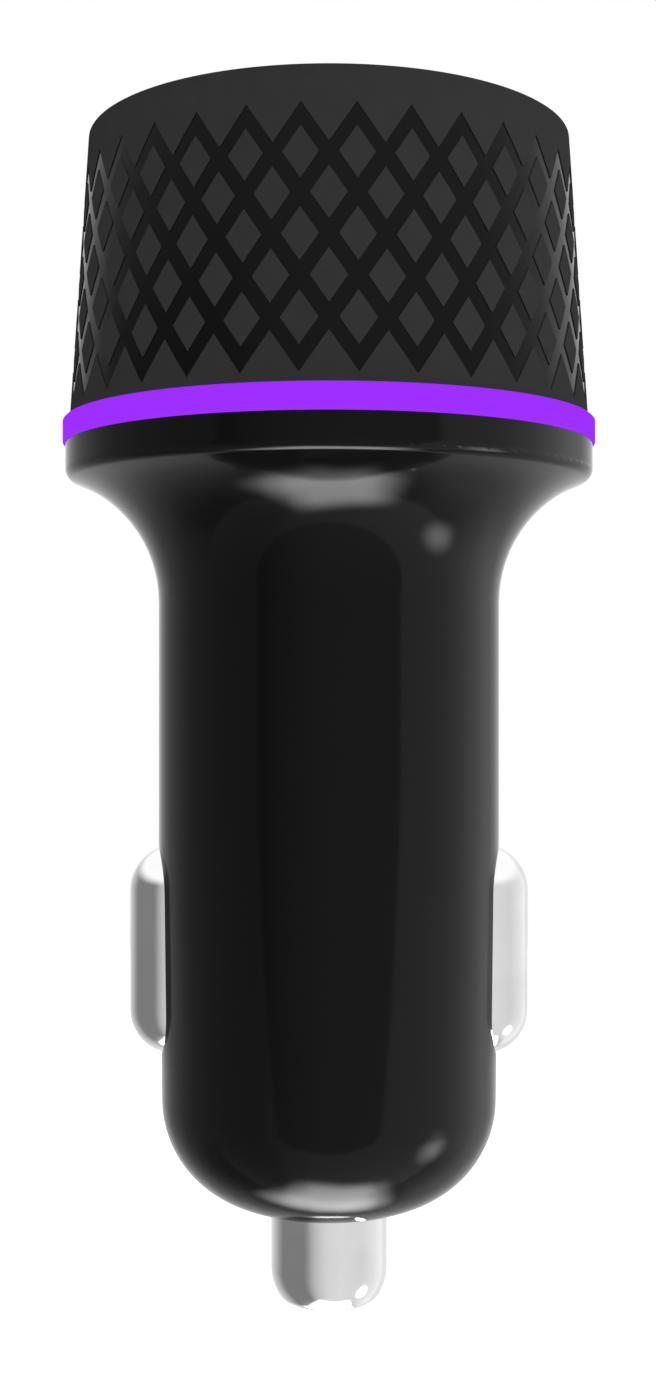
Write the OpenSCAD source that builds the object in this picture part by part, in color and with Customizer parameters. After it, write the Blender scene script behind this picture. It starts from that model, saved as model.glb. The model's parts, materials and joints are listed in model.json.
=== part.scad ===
// Car USB charger plug for a 12 V socket.
// +Z runs up the barrel to the port face. z = 0 is where the straight barrel meets the flare.

/* [Barrel] */
// Diameter of the straight barrel that fits the socket
barrel_d = 20.4; // [20:0.1:20.8]
// Length of the straight barrel below the flare
barrel_straight = 13.9; // [12:0.1:14.1]
// Length of the barrel from the flare to the nose face
barrel_len = 35.85; // [35.6:0.05:37]
// How much narrower the barrel's radius is where the nose rounding starts
barrel_taper = 0.175; // [0.1:0.025:0.25]
// Radius of the nose rounding
nose_r = 6.25; // [5.75:0.05:6.4]
// Thickness of the nose floor
nose_floor = 3.4; // [3:0.1:3.8]
// Wall thickness of the housing
wall = 1.7; // [1.5:0.1:1.9]

/* [Flare and rim] */
// Radius of the concave flare
flare_r = 7.65; // [7.4:0.05:8]
// Diameter of the rim
rim_d = 31.4; // [31:0.1:32]
// Radius of the rim's lower corner
rim_corner_r = 0.65; // [0.4:0.05:0.9]
// Height of the rim's top face above the flare's start
rim_top = 9.26; // [9:0.02:9.6]
// Width of the rim's top face outside the spigot that the ring and the grip sit around
spigot_inset = 2.7; // [2.6:0.05:2.8]
// Wall thickness of the spigot
spigot_wall = 2.3; // [2.2:0.05:2.4]
// Height of the spigot above the rim
spigot_h = 4.64; // [4.4:0.02:4.8]
// Radius of the snap bead around the spigot
bead_r = 0.25; // [0.15:0.05:0.35]
// Number of light windows in the spigot
window_count = 4; // [4:4:8]
// Width of one light window
window_w = 8; // [4:0.5:9]

/* [Light ring] */
// How far the light ring stands out beyond the rim
ring_proud = 0.15; // [0.05:0.05:0.4]
// Height of the light ring
ring_h = 1.47; // [1.2:0.01:1.8]

/* [Grip] */
// How far the grip's base stands in from the rim
grip_inset = 0.26; // [0:0.02:0.4]
// How much narrower the grip's radius is at its top edge
grip_taper = 1.12; // [0.6:0.02:1.2]
// Height of the grip
grip_h = 16.75; // [16.6:0.05:18]
// Radius of the grip's top edge
grip_edge_r = 0.3; // [0.1:0.05:0.5]
// Width of the step in the grip's bore that seats on the spigot
bore_step = 0.4; // [0.3:0.05:0.5]
// Number of diamonds around the grip
columns = 31; // [27:1:35]
// Number of staggered rows of diamonds
rows = 5; // [3:2:5]
// Mean height from one row of diamonds to the next
row_pitch = 2.16; // [2:0.02:2.2]
// Height of the lowest row's centre above the grip's base
first_row = 3.4; // [3.2:0.05:3.8]
// Share of its cell that a raised diamond fills
land_share = 0.66; // [0.55:0.01:0.75]
// Depth of the grooves between the diamonds
groove_depth = 0.25; // [0.15:0.05:0.4]

/* [Port face] */
// Thickness of the face plate
plate_t = 1.8; // [1.4:0.1:2.2]
// Depth of the face plate below the grip's top edge
plate_sink = 0.38; // [0.2:0.02:0.6]
// Width of the ledge that the face plate rests on
ledge_w = 0.7; // [0.5:0.05:0.9]
// Height of that ledge
ledge_h = 1; // [0.8:0.1:1.4]
// Bevel around the face plate
plate_bevel = 0.3; // [0.1:0.05:0.5]

/* [Ports] */
// Distance between the two ports
port_pitch = 9.6; // [9:0.1:10.4]
// Width of a port's mouth
port_mouth_w = 12.6; // [12.5:0.05:12.8]
// Height of a port's mouth
port_mouth_h = 5.1; // [5:0.05:5.3]
// Sheet thickness of a port's shell
shell_t = 0.3; // [0.2:0.05:0.4]
// Depth of a port's mouth below the face
mouth_sink = 0.4; // [0.2:0.05:0.8]
// Width of the tongue in a port
tongue_w = 11.2; // [11:0.1:11.6]
// Thickness of that tongue
tongue_t = 1.9; // [1.7:0.1:2.1]
// Distance of the tongue from the port's middle
tongue_shift = 0.65; // [0.5:0.05:0.75]
// Depth of the tongue's end below the port's mouth
tongue_sink = 1.5; // [1:0.1:2.5]
// Height of the tongue's base block
tongue_base_h = 3.4; // [3:0.1:4]
// Width of a port's contact strip
strip_w = 1; // [0.8:0.05:1.2]
// Thickness of that strip
strip_t = 0.25; // [0.2:0.01:0.3]

/* [Boards] */
// Height of the port board's underside above the rim
port_board_up = 2.84; // [2.6:0.02:3]
// Thickness of the boards
board_t = 1.2; // [1:0.1:1.3]
// Width of the ledge that the port board rests on
board_ledge = 0.7; // [0.6:0.05:0.8]
// Gap between the main board's edges and the barrel's wall
board_side_gap = 0.6; // [0.5:0.05:0.8]
// Height of the main board's lower end above the nose face
tip_room = 9.95; // [9.8:0.05:10.8]
// Width of the tab that joins the main board to the port board
board_tab_w = 3.4; // [2.6:0.1:3.6]
// Distance of the board screws from the wall of the head's bore
screw_in = 1.6; // [1.5:0.05:1.8]
// Diameter of a board screw
screw_d = 1.8; // [1.6:0.1:2]
// Diameter of a board screw's head
screw_head_d = 3.2; // [3:0.1:3.4]
// Height of a board screw's head
screw_head_h = 1.2; // [1:0.1:1.6]
// Length of a board screw under its head
screw_len = 6; // [5:0.5:7]
// Outer diameter of a screw post
post_d = 3.6; // [3.2:0.1:3.8]
// Angle of a light emitter from the middle of its window
led_spread = 12; // [9:1:15]
// Distance of the light emitters from the wall of the head's bore
led_in = 0.8; // [0.75:0.05:1.1]

/* [Side contacts] */
// How far a side contact stands out beyond the barrel
contact_proud = 1.7; // [1.4:0.05:2]
// Height of a side contact
contact_h = 12.4; // [11.8:0.1:12.6]
// Width of a side contact
contact_w = 6.5; // [6:0.1:6.8]
// Radius of a side contact's round sides and ends
contact_round_r = 2.65; // [2.4:0.05:2.8]
// Height of the side contacts' middle above the nose face
contact_up = 15.13; // [14.95:0.02:15.25]
// Wall thickness of a side contact
contact_wall = 0.8; // [0.6:0.05:1]
// Depth of the housing's inner flats in from the bore
flat_in = 1.5; // [1.4:0.05:1.7]
// Thickness of a side contact's flange
contact_flange_t = 0.9; // [0.7:0.05:1]
// Width of that flange beyond the contact
contact_flange_w = 0.7; // [0.5:0.05:0.8]
// Clearance around a side contact in its slot
slot_gap = 0.15; // [0.1:0.01:0.2]

/* [Tip pin] */
// Diameter of the tip pin
pin_d = 7; // [6.6:0.1:7.2]
// Length of the pin beyond the nose
pin_out = 5.87; // [5.4:0.01:6.4]
// Radius of the side round of the pin's end
pin_side_r = 3; // [2.6:0.1:3.2]
// Radius of the end round of the pin
pin_end_r = 0.8; // [0.6:0.05:1]
// Angle at which the side round meets the end round
pin_round_a = 30; // [24:1:34]
// Width of the cross grooves in the pin's end
pin_groove_w = 2.3; // [1.6:0.1:2.6]
// Depth of those grooves
pin_groove_deep = 0.3; // [0.1:0.05:0.4]
// Width of the pin's flange beyond the pin
pin_flange_w = 1.5; // [1.3:0.05:1.6]
// Thickness of that flange
pin_flange_t = 1; // [0.8:0.1:1.2]
// Clearance of the pin in the nose
pin_gap = 0.08; // [0.05:0.01:0.1]
// Clearance of the pin's flange in the tube that guides it
guide_gap = 0.25; // [0.2:0.05:0.35]
// Height of that tube above the nose floor
guide_h = 4.2; // [4:0.1:4.3]

/* [Springs] */
// Wire diameter of the tip spring
tip_wire = 0.5; // [0.4:0.05:0.6]
// Outer diameter of the tip spring
tip_spring_d = 7.3; // [6.8:0.1:7.6]
// Turns of the tip spring
tip_turns = 5; // [4:0.5:5]
// Wire diameter of a side spring
side_wire = 0.4; // [0.3:0.05:0.5]
// Clearance of a side spring in its contact
side_room = 0.5; // [0.4:0.05:0.6]
// Turns of a side spring
side_turns = 8; // [6:0.5:9]

/* [Hidden] */
$fn = 96;

// Small fits and steps that several pieces share
fit = 0.1;
seat_gap = 0.05;
screw_fit = 0.03;
eps = 0.01;

// Barrel and nose
barrel_r = barrel_d / 2;
nose_d = barrel_d - 2 * barrel_taper;
nose_x = nose_d / 2 - nose_r;
nose_z = nose_r - barrel_len;
floor_z = nose_floor - barrel_len;
bore_r = barrel_r - wall;

// Flare: its centre stands on z = 0, and the rim's corner circle touches it
flare_x = barrel_r + flare_r;
corner_x = rim_d / 2 - rim_corner_r;
corner_z = sqrt(pow(flare_r + rim_corner_r, 2) - pow(flare_x - corner_x, 2));
touch = flare_r / (flare_r + rim_corner_r);
touch_x = flare_x + (corner_x - flare_x) * touch;
touch_z = corner_z * touch;
spigot_d = rim_d - 2 * spigot_inset;
head_bore_r = spigot_d / 2 - spigot_wall;
inner_flare_r = flare_r + wall;
head_z = sqrt(pow(inner_flare_r, 2) - pow(flare_x - head_bore_r, 2));

// Head levels
spigot_top = rim_top + spigot_h;
post_rise = 0.6;
post_z = head_z + post_rise;
board_z = rim_top + port_board_up;
board_top = board_z + board_t;
bead_drop = 0.9;
bead_z = spigot_top - bead_drop;
ring_top = rim_top + ring_h;
grip_top = ring_top + grip_h;
plate_top = grip_top - plate_sink;
plate_z = plate_top - plate_t;
shell_top = plate_top - mouth_sink;
shell_w = port_mouth_w + 2 * shell_t;
shell_h = port_mouth_h + 2 * shell_t;
tongue_top = shell_top - tongue_sink;
base_top = board_top + tongue_base_h;
strip_x = [-3.5, -1, 1, 3.5];
strip_y = tongue_shift - tongue_t / 2;
tail_len = 0.5;
shoulder_z = board_z - tail_len - fit;
tab_out = 0.6;
port_board_d = 2 * (head_bore_r + board_ledge);
screw_at = head_bore_r - screw_in;
led_at = head_bore_r - led_in;
window_sill = 0.2;
window_h = port_board_up - window_sill - fit;
leg_w = 1.4;
leg_len = board_t + 0.4;

// Light ring, grip and face plate
ring_d = rim_d + 2 * ring_proud;
grip_base_d = rim_d - 2 * grip_inset;
grip_top_d = grip_base_d - 2 * grip_taper;
grip_bore_d = spigot_d - 2 * bore_step;
plate_d = grip_bore_d;

// Grip radius at a height, and the rows of diamonds, which grow with that radius
function grip_r(z) = (grip_base_d + (grip_top_d - grip_base_d) * (z - ring_top) / grip_h) / 2;
grip_mean_r = (grip_base_d + grip_top_d) / 4;
function row_step(z) = row_pitch * grip_r(z) / grip_mean_r;
function row_z(i) = i == 0 ? ring_top + first_row : row_z(i - 1) + row_step(row_z(i - 1));
function cell_w(z) = 180 / columns * PI / 180 * grip_r(z);

// Side contacts
contact_reach = barrel_r + contact_proud;
contact_z = contact_up - barrel_len;
flat_at = bore_r - flat_in;
flange_h = contact_h + 2 * contact_flange_w;
flange_w = contact_w + 2 * contact_flange_w;
contact_x = contact_reach - contact_round_r;
cup_r = contact_round_r - contact_wall;
side_spring_d = contact_w - 2 * (contact_wall + side_room);
side_spring_end = contact_x + sqrt(pow(cup_r, 2) - pow(cup_r - side_room + seat_gap, 2));

// Tip pin and what stands behind it
pin_r = pin_d / 2;
pin_end = -barrel_len - pin_out;
pin_flange_d = pin_d + 2 * pin_flange_w;
guide_d = pin_flange_d + 2 * guide_gap;
flange_top = floor_z + pin_flange_t;
main_board_z = tip_room - barrel_len;
main_board_w = 2 * (bore_r - board_side_gap);
tip_seat_t = 0.5;
tip_seat_z = main_board_z - tip_seat_t;
tip_spring_r = (tip_spring_d - tip_wire) / 2;
side_spring_r = (side_spring_d - side_wire) / 2;
pad_t = 0.4;
pad_at = board_t / 2 + pad_t;
rivet_r = 0.9;
seat_rim = 0.35;
tip_seat_r = tip_spring_d / 2 + seat_rim;
pad_rim = 0.55;
peg_gap = 0.25;
tip_peg_r = tip_spring_d / 2 - tip_wire - peg_gap;
pin_peg_h = 1.2;

// Sizes of the parts on the main board
inductor_size = 7.2;
inductor_tall = 3.9;
input_can_d = 6.3;
input_can_len = 7.7;
output_can_d = 5;
output_can_len = 7;
chip_w = 5;
chip_len = 4;
chip_h = 1.6;
chip_leads = 4;
chip_pitch = 1.27;
diode_w = 3.6;
diode_len = 3.4;
diode_h = 2.2;

// Places of the parts on the main board, [across, up] from the point where the flare starts
inductor_at = [0, -6.2];
input_can_at = [-3.4, 1.4];
output_can_at = [3.4, 1.4];
converter_at = [0, -3];
charger_at = [0, 6.4];
diode_at = [0, -10.4];
fuse_at = [0, -12.2];
small_parts_in = 2.5;
small_parts_x = main_board_w / 2 - small_parts_in;
small_parts_z = [-7, -3, 1, 5, 9];

// Shape helpers

// A rectangle with round corners, centred
module round_rect(w, h, r) {
  square([w - 2 * r, h], center = true);
  square([w, h - 2 * r], center = true);
  for (x = [-1, 1], y = [-1, 1])
    translate([x * (w / 2 - r), y * (h / 2 - r)]) circle(r);
}

// A bar along X with a round_rect section of width w (Y) and height h (Z)
module bar_x(x0, x1, w, h, r) {
  translate([x0, 0, 0]) rotate([90, 0, 90]) linear_extrude(x1 - x0) round_rect(w, h, r);
}

// A box given by its low corner and its size
module box(low, size) {
  translate(low) cube(size);
}

// Points of a round wire wound into a spring whose first and last turns are closed
function spring_z(s, turns, len, wire) =
  s < 1 ? wire * s
  : s > turns - 1 ? len - wire * (turns - s)
  : wire + (s - 1) * (len - 2 * wire) / (turns - 2);

module spring(r, wire, len, turns) {
  per_turn = 18;
  sides = 8;
  steps = round(turns * per_turn);
  run = len - wire;
  points = [
    for (i = [0 : steps], k = [0 : sides - 1])
      let (s = i / per_turn, a = 360 * s, b = 360 * k / sides, q = r + wire / 2 * cos(b))
        [q * cos(a), q * sin(a), wire / 2 + spring_z(s, turns, run, wire) + wire / 2 * sin(b)]
  ];
  walls = [
    for (i = [0 : steps - 1], k = [0 : sides - 1])
      let (a = i * sides + k, b = i * sides + (k + 1) % sides)
        [a, a + sides, b + sides, b]
  ];
  first = [for (k = [0 : sides - 1]) k];
  last = [for (k = [0 : sides - 1]) (steps + 1) * sides - 1 - k];
  polyhedron(points, concat(walls, [first, last]), convexity = 10);
}

// Barrel housing

module housing_outline() {
  translate([0, -barrel_len]) square([nose_x, nose_r]);
  intersection() {
    translate([nose_x, nose_z]) circle(nose_r);
    translate([0, -barrel_len]) square([nose_d, nose_r]);
  }
  polygon([[0, nose_z - eps], [nose_d / 2, nose_z], [barrel_r, -barrel_straight], [barrel_r, 0], [0, 0]]);
  difference() {
    polygon([[0, -eps], [barrel_r, -eps], [barrel_r, 0], [flare_x, 0], [corner_x, corner_z],
      [rim_d / 2, corner_z], [rim_d / 2, rim_top], [0, rim_top]]);
    translate([flare_x, 0]) circle(flare_r);
  }
  intersection() {
    translate([corner_x, corner_z]) circle(rim_corner_r);
    translate([touch_x - rim_corner_r, touch_z - rim_corner_r]) square(3 * rim_corner_r);
  }
  translate([0, corner_z]) square([spigot_d / 2, spigot_top - corner_z]);
  translate([spigot_d / 2, bead_z]) circle(bead_r);
}

module housing_cavity() {
  intersection() {
    union() {
      translate([nose_x, nose_z]) circle(nose_r - wall);
      translate([0, floor_z]) square([nose_x, -floor_z]);
    }
    translate([0, floor_z]) square([barrel_r, nose_r]);
  }
  polygon([[0, nose_z], [nose_d / 2 - wall, nose_z], [bore_r, -barrel_straight], [bore_r, 0], [0, 0]]);
  // The middle joins the barrel's bore to the head's
  translate([0, -nose_r]) square([nose_x, 2 * nose_r]);
  difference() {
    square([head_bore_r, spigot_top]);
    translate([flare_x, 0]) circle(inner_flare_r);
  }
  translate([0, board_z]) square([port_board_d / 2 + fit, spigot_h]);
}

module barrel_housing() {
  rail_gap = board_t / 2 + slot_gap;
  rail_t = 1;
  rail_bite = 0.7;
  rail_short = 1.9;
  rail_at = main_board_w / 2 - rail_bite;
  rail_h = -main_board_z - rail_short;
  flat_h = flange_h + 1;
  color([0.03, 0.03, 0.035]) difference() {
    union() {
      difference() {
        rotate_extrude() housing_outline();
        rotate_extrude() housing_cavity();
      }
      intersection() {
        translate([0, 0, floor_z]) cylinder(r = bore_r + 0.5, h = -floor_z);
        union() {
          for (side = [-1, 1]) {
            // Flats that the contact flanges stop against
            translate([side * (flat_at + wall), 0, contact_z])
              cube([2 * wall, barrel_d, flat_h], center = true);
            // Rails that hold the main board's edges
            for (face = [-1, 1])
              translate([face * (rail_gap + rail_t / 2), side * (rail_at + wall), -rail_h / 2])
                cube([rail_t, 2 * wall, rail_h], center = true);
          }
        }
      }
      // Posts for the board screws
      for (side = [-1, 1])
        translate([side * screw_at, 0, post_z]) cylinder(d = post_d, h = board_z - post_z);
      // Tube that guides the pin's flange
      translate([0, 0, floor_z - eps]) difference() {
        cylinder(d = guide_d + 2, h = guide_h + eps);
        translate([0, 0, -1]) cylinder(d = guide_d, h = guide_h + 2);
      }
    }
    // Bore for the tip pin
    translate([0, 0, -barrel_len - 1]) cylinder(r = pin_r + pin_gap, h = nose_floor + 2);
    // Slots for the side contacts
    for (side = [0, 180])
      rotate([0, 0, side]) translate([0, 0, contact_z])
        bar_x(flat_at - 1, barrel_r + 1, contact_w + 2 * slot_gap, contact_h + 2 * slot_gap,
          contact_round_r + slot_gap);
    // Windows that let the light out to the ring
    for (i = [0 : window_count - 1])
      rotate([0, 0, (i + 0.5) * 360 / window_count])
        box([head_bore_r - 1, -window_w / 2, rim_top + window_sill],
          [spigot_wall + 2, window_w, window_h]);
    // Pilot holes in the posts
    for (side = [-1, 1])
      translate([side * screw_at, 0, post_z - 1])
        cylinder(d = screw_d + 2 * screw_fit, h = board_top - post_z + 1);
  }
}

// Light ring and grip

module light_ring() {
  edge = 0.12;
  r_out = ring_d / 2;
  r_in = spigot_d / 2 + fit;
  color([0.62, 0.17, 1]) rotate_extrude()
    polygon([[r_in, rim_top], [r_out - edge, rim_top], [r_out, rim_top + edge],
      [r_out, ring_top - edge], [r_out - edge, ring_top], [r_in, ring_top]]);
}

// Section of the grip out to its face, less a depth, without its bores
module grip_outline(depth) {
  top_r = grip_top_d / 2 - depth;
  lean = grip_r(grip_top - grip_edge_r) - depth;
  difference() {
    polygon([[0, ring_top], [grip_base_d / 2 - depth, ring_top], [top_r, grip_top], [0, grip_top]]);
    translate([lean - grip_edge_r, grip_top - grip_edge_r]) difference() {
      square(2 * grip_edge_r);
      circle(grip_edge_r);
    }
  }
}

module grip_bores() {
  ledge_z = plate_z - ledge_h;
  translate([0, ring_top - 1]) square([spigot_d / 2 + fit, spigot_top - ring_top + 1.3]);
  translate([spigot_d / 2, bead_z]) circle(bead_r + fit);
  translate([0, ring_top]) square([grip_bore_d / 2, ledge_z - ring_top]);
  translate([0, ledge_z - 1]) square([plate_d / 2 - ledge_w, grip_h]);
  translate([0, plate_z]) square([plate_d / 2 + fit, grip_h]);
}

// A prism along the radius with a diamond outline, scale times its cell
module diamond(i, turn, scale) {
  z = row_z(i);
  w = cell_w(z) * scale;
  h = row_step(z) * scale;
  r_in = grip_top_d / 2 - 1.2;
  rotate([0, 0, turn]) translate([0, 0, z]) rotate([90, 0, 0]) translate([0, 0, r_in])
    linear_extrude(grip_base_d / 2 + 1 - r_in) polygon([[-w, 0], [0, -h], [w, 0], [0, h]]);
}

// Every diamond of the grip: odd rows stand half a column aside
module diamonds(first, last, scale) {
  for (i = [first : last], k = [0 : columns - 1])
    diamond(i, (k + (i % 2 == 0 ? 0.5 : 0)) * 360 / columns, scale);
}

module grip_sleeve() {
  reach = 2 - land_share;
  low = row_z(0);
  high = row_z(rows - 1);
  color([0.18, 0.18, 0.18]) difference() {
    union() {
      rotate_extrude() grip_outline(groove_depth);
      // Plain bands below and above the pattern, with zigzag edges
      difference() {
        rotate_extrude() grip_outline(0);
        translate([0, 0, low]) cylinder(r = grip_base_d, h = high - low);
        diamonds(0, 0, reach);
        diamonds(rows - 1, rows - 1, reach);
      }
      intersection() {
        rotate_extrude() grip_outline(0);
        diamonds(0, rows - 1, land_share);
      }
    }
    rotate_extrude() grip_bores();
  }
}

// Port face and ports

module face_plate() {
  skirt_r = plate_d / 2 - ledge_w - fit;
  skirt_t = 1;
  color([0.04, 0.04, 0.045]) difference() {
    rotate_extrude() {
      polygon([[0, plate_z], [plate_d / 2, plate_z], [plate_d / 2, plate_top - plate_bevel],
        [plate_d / 2 - plate_bevel, plate_top], [0, plate_top]]);
      translate([skirt_r - skirt_t, plate_z - ledge_h]) square([skirt_t, ledge_h + eps]);
    }
    for (side = [-1, 1])
      translate([0, side * port_pitch / 2, plate_z - 1]) linear_extrude(plate_t + 2)
        round_rect(shell_w + 2 * fit, shell_h + 2 * fit, 0.8);
  }
}

// A folded port shell with its latch leaves and its two legs in the board
module usb_shell(side) {
  leaf_w = 1.5;
  leaf_h = 4;
  leaf_gap = 0.25;
  leaf_z = tongue_top - leaf_h - 0.5;
  color([0.75, 0.75, 0.77]) translate([0, side * port_pitch / 2, 0]) {
    difference() {
      translate([0, 0, board_top]) linear_extrude(shell_top - board_top) difference() {
        round_rect(shell_w, shell_h, 0.8);
        round_rect(port_mouth_w, port_mouth_h, 0.5);
      }
      for (x = [-1, 1], y = [-1, 1])
        translate([x * port_mouth_w / 4, y * (port_mouth_h + shell_t) / 2, leaf_z + leaf_h / 2])
          cube([leaf_w + 2 * leaf_gap, 2 * shell_t, leaf_h + leaf_gap], center = true);
    }
    for (x = [-1, 1], y = [-1, 1])
      translate([x * port_mouth_w / 4, y * (port_mouth_h + shell_t) / 2, leaf_z + leaf_h / 2 - leaf_gap])
        cube([leaf_w, shell_t, leaf_h], center = true);
    for (x = [-1, 1])
      translate([x * (shell_w - shell_t) / 2, 0, board_top - leg_len / 2])
        cube([shell_t, leg_w, leg_len + 2 * eps], center = true);
  }
}

module usb_tongue(side) {
  bevel = 0.5;
  w = port_mouth_w - 2 * seat_gap;
  h = port_mouth_h - 2 * seat_gap;
  color([0.1, 0.1, 0.1]) translate([0, side * port_pitch / 2, 0]) difference() {
    union() {
      translate([0, 0, board_top]) linear_extrude(tongue_base_h) round_rect(w, h, 0.4);
      translate([tongue_w / 2, tongue_shift, base_top - 1]) rotate([90, 0, -90])
        linear_extrude(tongue_w) polygon([[-tongue_t / 2, 0], [tongue_t / 2, 0],
          [tongue_t / 2, tongue_top - base_top + 1 - bevel],
          [tongue_t / 2 - bevel, tongue_top - base_top + 1],
          [bevel - tongue_t / 2, tongue_top - base_top + 1],
          [-tongue_t / 2, tongue_top - base_top + 1 - bevel]]);
    }
    for (x = strip_x)
      box([x - strip_w / 2 - seat_gap, strip_y - strip_t - seat_gap, board_top - 1],
        [strip_w + 2 * seat_gap, strip_t + seat_gap, tongue_base_h + 2]);
  }
}

// The four contact strips of one port, with their tails through the board
module usb_strips(side) {
  color([0.85, 0.68, 0.3]) translate([0, side * port_pitch / 2, 0])
    for (x = strip_x)
      box([x - strip_w / 2, strip_y - strip_t, board_z - tail_len],
        [strip_w, strip_t, tongue_top - 1 - board_z + tail_len]);
}

// Boards

module port_board() {
  color([0.05, 0.3, 0.15]) difference() {
    translate([0, 0, board_z]) cylinder(d = port_board_d, h = board_t);
    cube([board_t + 2 * fit, board_tab_w + 2 * fit, 4 * board_top], center = true);
    for (side = [-1, 1]) {
      translate([side * screw_at, 0, board_z - 1]) cylinder(d = screw_d + 2 * fit, h = board_t + 2);
      translate([0, side * port_pitch / 2, board_z - 1]) {
        for (x = strip_x)
          box([x - strip_w / 2 - fit, strip_y - strip_t - fit, 0], [strip_w + 2 * fit, strip_t + 2 * fit, 4]);
        for (x = [-1, 1])
          translate([x * (shell_w - shell_t) / 2, 0, 0])
            cube([shell_t + 2 * fit, leg_w + 2 * fit, 3 * board_t + 2], center = true);
      }
    }
  }
}

module ring_leds() {
  led_w = 2;
  led_deep = 1.1;
  led_h = 0.8;
  color([0.95, 0.9, 0.6])
    for (i = [0 : window_count - 1], side = [-1, 1])
      rotate([0, 0, (i + 0.5) * 360 / window_count + side * led_spread])
        translate([led_at, 0, board_z - led_h / 2]) {
          cube([led_deep, led_w, led_h], center = true);
          translate([led_deep / 2 - eps, 0, 0]) rotate([0, 90, 0]) cylinder(d = led_h - 0.2, h = 0.1);
        }
}

module board_screws() {
  color([0.6, 0.6, 0.62])
    for (side = [-1, 1])
      translate([side * screw_at, 0, board_top]) difference() {
        union() {
          translate([0, 0, -screw_len]) cylinder(d = screw_d, h = screw_len + eps);
          rotate_extrude() intersection() {
            translate([0, screw_head_h - screw_head_d]) circle(screw_head_d);
            square([screw_head_d / 2, screw_head_h]);
          }
        }
        for (turn = [0, 90])
          rotate([0, 0, turn]) translate([0, 0, screw_head_h])
            cube([screw_head_d * 0.6, 0.4, screw_head_h], center = true);
      }
}

module main_board() {
  color([0.05, 0.3, 0.15]) difference() {
    union() {
      box([-board_t / 2, -main_board_w / 2, main_board_z],
        [board_t, main_board_w, shoulder_z - main_board_z]);
      box([-board_t / 2, -board_tab_w / 2, shoulder_z - 1],
        [board_t, board_tab_w, board_top + tab_out - shoulder_z + 1]);
    }
    translate([0, 0, contact_z]) rotate([0, 90, 0])
      cylinder(r = rivet_r + fit, h = 2 * board_t, center = true);
  }
}

// Parts on the main board

// Turns a part that is drawn standing on the board's +X face to the given side
module on_board(side, at) {
  rotate([0, 0, side > 0 ? 0 : 180]) translate([board_t / 2, side * at[0], at[1]]) children();
}

// A flat package of height h with leads on its two short sides
module leaded_chip(w, len, h, leads, pitch) {
  lead_w = 0.4;
  lead_t = 0.2;
  reach = 1;
  color([0.07, 0.07, 0.07]) bar_x(0.1, h, w, len, 0.3);
  color([0.8, 0.8, 0.8])
    for (i = [0 : leads - 1], side = [-1, 1])
      translate([0, (i - (leads - 1) / 2) * pitch, side * len / 2]) {
        translate([lead_t / 2, 0, side * reach / 2]) cube([lead_t, lead_w, reach], center = true);
        translate([h / 4 + lead_t / 2, 0, side * lead_t / 2])
          cube([h / 2 + lead_t, lead_w, lead_t + 2 * eps], center = true);
      }
}

module power_inductor() {
  groove_in = 0.6;
  groove_out = inductor_size / 2 - groove_in;
  groove_w = 0.7;
  groove_deep = 0.3;
  color([0.2, 0.2, 0.2]) on_board(1, inductor_at) difference() {
    bar_x(0, inductor_tall, inductor_size, inductor_size, 1.4);
    translate([inductor_tall - groove_deep, 0, 0]) rotate([0, 90, 0]) difference() {
      cylinder(r = groove_out, h = 1);
      translate([0, 0, -1]) cylinder(r = groove_out - groove_w, h = 3);
    }
  }
}

// An aluminium can of the given size that lies along the main board
module can_capacitor(d, len, at) {
  crimp_r = 0.45;
  crimp_deep = 0.3;
  crimp_z = 1.4;
  bevel = 0.6;
  color([0.25, 0.25, 0.3]) on_board(1, at) translate([d / 2 + seat_gap, 0, 0]) rotate_extrude()
    difference() {
      square([d / 2, len]);
      translate([d / 2 + crimp_r - crimp_deep, crimp_z]) circle(crimp_r);
      translate([d / 2, len]) rotate(45) square(bevel, center = true);
    }
}

module input_capacitor() {
  can_capacitor(input_can_d, input_can_len, input_can_at);
}

module output_capacitor() {
  can_capacitor(output_can_d, output_can_len, output_can_at);
}

module converter_chip() {
  on_board(-1, converter_at) leaded_chip(chip_w, chip_len, chip_h, chip_leads, chip_pitch);
}

module charge_chip() {
  on_board(-1, charger_at) leaded_chip(chip_w, chip_len, chip_h, chip_leads, chip_pitch);
}

module rectifier_diode() {
  on_board(-1, diode_at) leaded_chip(diode_w, diode_len, diode_h, 1, 1);
}

module input_fuse() {
  len = 4.4;
  size = 2;
  cap = 1;
  color([0.9, 0.88, 0.8]) on_board(1, fuse_at) {
    bar_x(0.1, size - 0.1, len - 2 * cap + 2 * eps, size - 0.2, 0.2);
    for (side = [-1, 1])
      translate([0, side * (len - cap) / 2, 0]) bar_x(0, size, cap, size, 0.2);
  }
}

// Small resistors and ceramic capacitors in two columns on the chips' side
module chip_parts() {
  part_w = 1.2;
  part_len = 2;
  part_h = 0.7;
  color([0.5, 0.4, 0.3])
    for (z = small_parts_z, side = [-1, 1])
      on_board(-1, [side * small_parts_x, z]) bar_x(0, part_h, part_w, part_len, 0.15);
}

// Contacts and springs

// Riveted pads on both faces of the board that the side springs stand on
module ground_seat() {
  pad_r = side_spring_d / 2 + pad_rim;
  peg_r = side_spring_d / 2 - side_wire - fit;
  peg_h = 1.2;
  color([0.8, 0.78, 0.7]) translate([0, 0, contact_z]) rotate([0, 90, 0]) {
    cylinder(r = rivet_r, h = 2 * pad_at, center = true);
    for (side = [0, 180])
      rotate([side, 0, 0]) translate([0, 0, board_t / 2]) {
        cylinder(r = pad_r, h = pad_t);
        cylinder(r = peg_r, h = pad_t + peg_h);
      }
  }
}

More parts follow.
